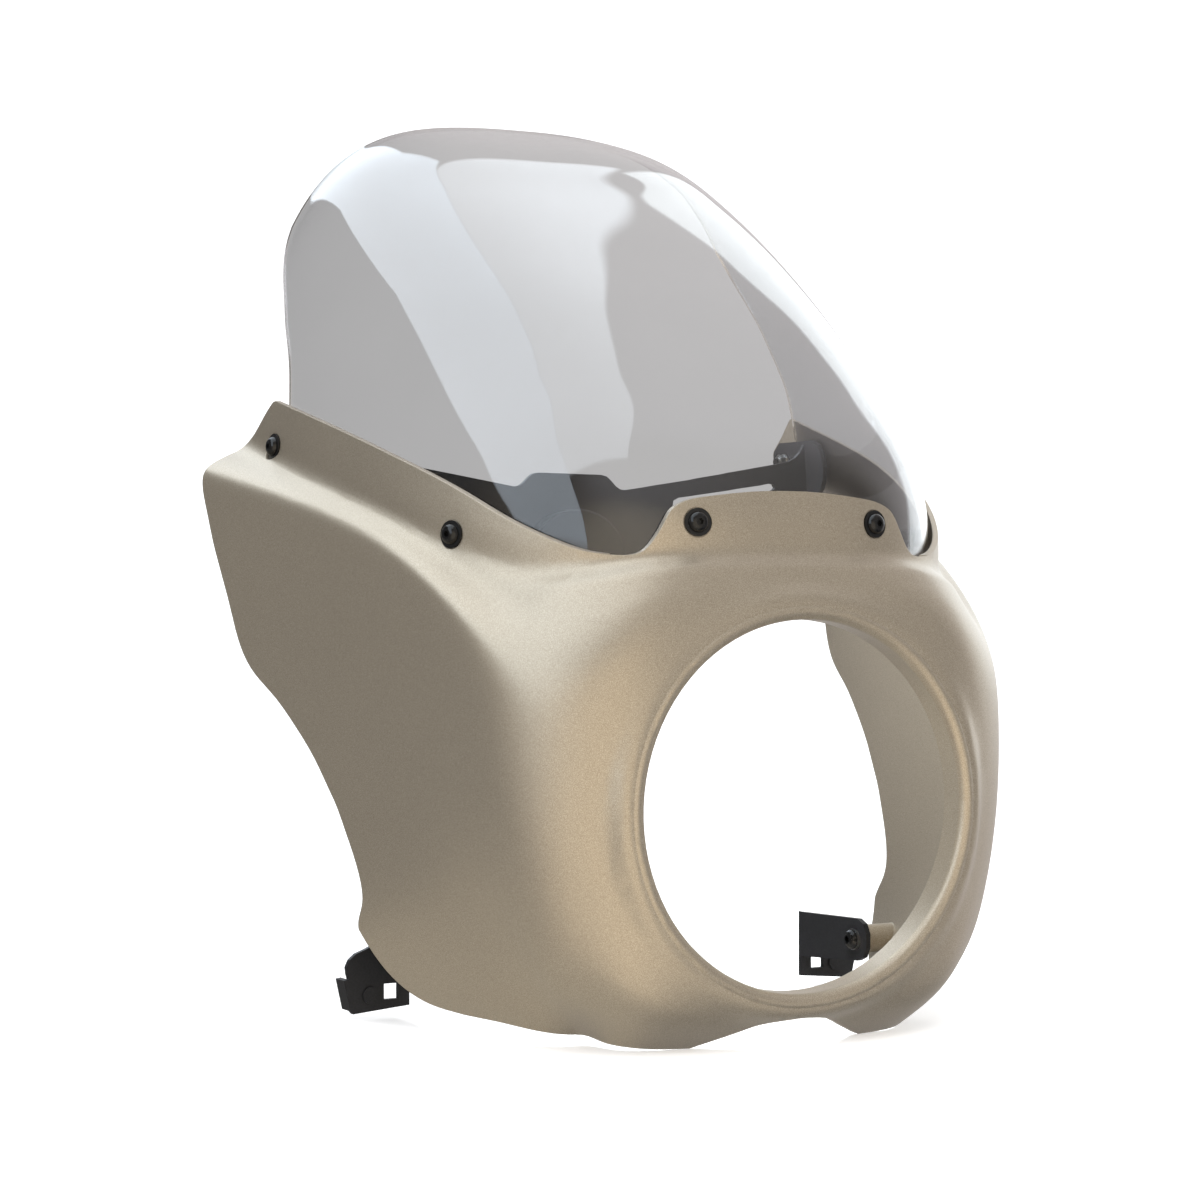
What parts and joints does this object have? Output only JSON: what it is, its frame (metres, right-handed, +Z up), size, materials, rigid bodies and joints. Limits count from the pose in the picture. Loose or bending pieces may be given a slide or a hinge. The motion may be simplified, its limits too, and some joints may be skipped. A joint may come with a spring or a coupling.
{
  "type": "headlight cowl",
  "caption": "One-piece moulded headlight cowl with a round lamp opening, a tall clear windscreen screwed inside its top band, and steel mounting brackets.",
  "frame": {"origin": "centre of the headlight opening, halfway along its cylindrical wall", "axes": "-Y is the front, the way the lamp faces; +Z is up; -X is the side nearest the camera in the picture"},
  "size_m": [0.413, 0.3309, 0.5083],
  "materials": {
    "shell": "satin champagne metallic lacquer on moulded plastic",
    "screen": "light smoke see-through plastic, glossy",
    "screws": "gloss black",
    "washers": "satin black",
    "rubber": "matte black",
    "brass": "machined",
    "bracket": "near-black powder coat",
    "plated": "zinc plated"
  },
  "bodies": {
    "root": {"cowl_shell": "shell", "windscreen": "screen", "screen_screws": "screws", "rear_screws": "screws", "screen_washers": "washers", "well_nuts": "rubber", "well_nut_inserts": "brass", "rear_grommets": "rubber", "cross_bracket": "bracket", "rear_nut_washers": "plated", "rear_lock_nuts": "plated", "lower_bracket_left": "bracket", "lower_bracket_right": "bracket", "boss_inserts": "brass", "lower_bracket_washers": "plated", "lower_bracket_bolts": "screws"}
  },
  "joints": []
}
